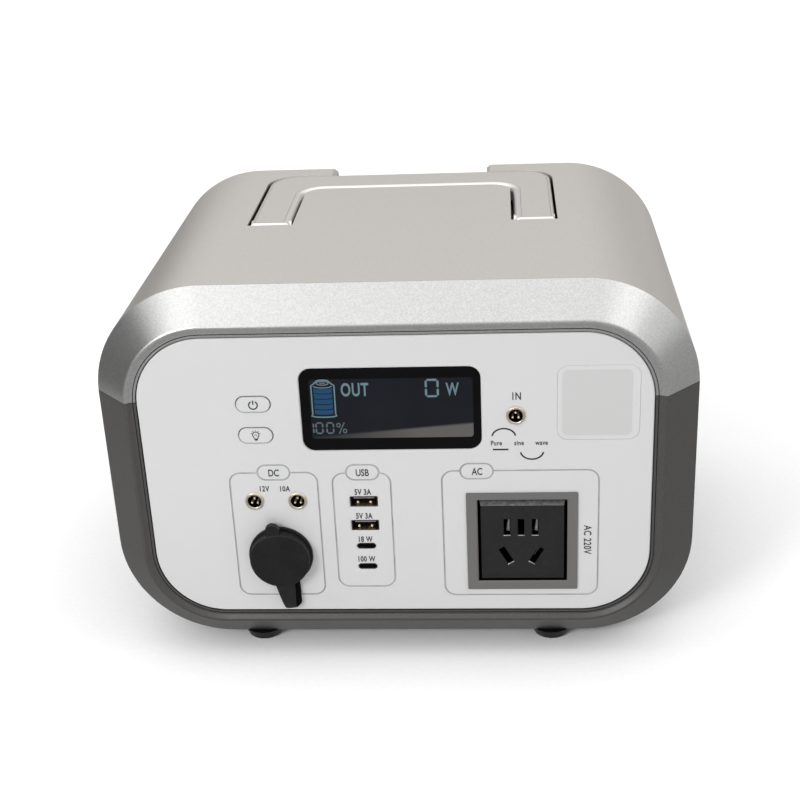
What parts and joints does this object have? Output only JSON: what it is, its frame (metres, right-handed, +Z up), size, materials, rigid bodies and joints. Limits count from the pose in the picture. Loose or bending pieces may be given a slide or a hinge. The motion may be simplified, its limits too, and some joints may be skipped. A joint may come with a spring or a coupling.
{
  "type": "portable power station",
  "caption": "Box-shaped portable power station with a fold-up handle in its top, a front panel of outlets, a capped 12 V socket, a display, two buttons and a work light.",
  "frame": {"origin": "centre of the bounding box in X and Y, on the surface that the feet stand on", "axes": "+X to the right of someone facing the outlet panel, +Y from the outlet panel to the rear, +Z up"},
  "size_m": [0.276, 0.2264, 0.188],
  "materials": {
    "silver_paint": "warm silver metallic paint on moulded ABS",
    "bezel_silver": "bright silver metallic paint on moulded ABS",
    "graphite_paint": "dark grey satin paint on moulded ABS",
    "white_panel": "satin white moulded plastic",
    "smoked_glass": "black gloss display cover",
    "lcd_glass": "LCD cell and its backlight frame",
    "diffuser": "translucent white light diffuser",
    "grey_bezel": "mid grey moulded frame",
    "black_plastic": "black moulded nylon",
    "rubber": "soft black rubber",
    "nickel_plate": "nickel plated steel",
    "brass": "gilt contact metal",
    "screw_steel": "black zinc plated steel",
    "cell_can": "shrink-wrapped LFP cell, taken at the density of a cell",
    "board": "green solder mask on glass-epoxy",
    "component": "black moulded component bodies",
    "led_yellow": "yellow phosphor LED packages",
    "heatsink": "extruded aluminium",
    "ferrite": "sintered ferrite core",
    "copper_winding": "enamelled copper winding",
    "tray": "glass-filled nylon tray",
    "cable_red": "silicone-sleeved battery lead"
  },
  "bodies": {
    "shell": {"ac_socket_body": "black_plastic", "ac_socket_contacts": "brass", "ac_socket_frame": "grey_bezel", "battery_cells": "cell_can", "battery_deck": "tray", "battery_leads": "cable_red", "bms_board": "board", "board_components": "component", "board_standoffs": "tray", "cap_anchor": "rubber", "casing_screws": "screw_steel", "cell_holders": "black_plastic", "control_board": "board", "dc_jack_left": "nickel_plate", "dc_jack_right": "nickel_plate", "display_window": "smoked_glass", "fan_frame": "black_plastic", "fan_screws": "screw_steel", "filter_capacitors": "component", "front_bezel_lower": "graphite_paint", "front_bezel_upper": "bezel_silver", "front_panel": "white_panel", "handle_pins": "nickel_plate", "heatsinks": "heatsink", "input_jack": "nickel_plate", "inverter_board": "board", "jack_pins": "brass", "lcd_module": "lcd_glass", "led_board": "board", "led_chips": "led_yellow", "led_lens": "diffuser", "light_button_spring": "screw_steel", "lower_casing": "graphite_paint", "nickel_strips": "nickel_plate", "outlet_boards": "board", "power_button_spring": "screw_steel", "rear_bezel_lower": "graphite_paint", "rear_bezel_upper": "bezel_silver", "rear_panel": "graphite_paint", "rubber_feet": "rubber", "socket_barrel": "nickel_plate", "socket_contact": "brass", "socket_flange": "black_plastic", "tact_switches": "black_plastic", "transformer_core": "ferrite", "transformer_winding": "copper_winding", "upper_casing": "silver_paint", "usb_a_contacts": "brass", "usb_a_port_lower": "nickel_plate", "usb_a_port_upper": "nickel_plate", "usb_c_port_lower": "nickel_plate", "usb_c_port_upper": "nickel_plate", "usb_tongues": "black_plastic"},
    "handle": {"carry_handle": "silver_paint", "handle_cover": "silver_paint"},
    "power_button_cap": {"power_button": "white_panel"},
    "light_button_cap": {"light_button": "white_panel"},
    "cap": {"socket_cap": "rubber", "cap_strap": "rubber"},
    "fan": {"fan_rotor": "black_plastic"}
  },
  "joints": [
    {"name": "handle_fold", "type": "hinge", "parent": "shell", "child": "handle", "pos_m": [0, 0.0037, 0.1825], "axis": [1, 0, 0], "range_deg": [0, 90]},
    {"name": "power_press", "type": "slide", "parent": "shell", "child": "power_button_cap", "axis": [0, 1, 0], "range_m": [0, 0.001], "stiffness_N_per_m": 400, "deforming": ["power_button_spring"]},
    {"name": "light_press", "type": "slide", "parent": "shell", "child": "light_button_cap", "axis": [0, 1, 0], "range_m": [0, 0.001], "stiffness_N_per_m": 400, "deforming": ["light_button_spring"]},
    {"name": "cap_open", "type": "hinge", "parent": "shell", "child": "cap", "pos_m": [-0.05261, -0.1088, 0.0336], "axis": [0.9877, 0, 0.1564], "range_deg": [0, 100]},
    {"name": "fan_spin", "type": "hinge", "parent": "shell", "child": "fan", "pos_m": [0, 0.1002, 0.118], "axis": [0, 1, 0], "continuous": true}
  ]
}
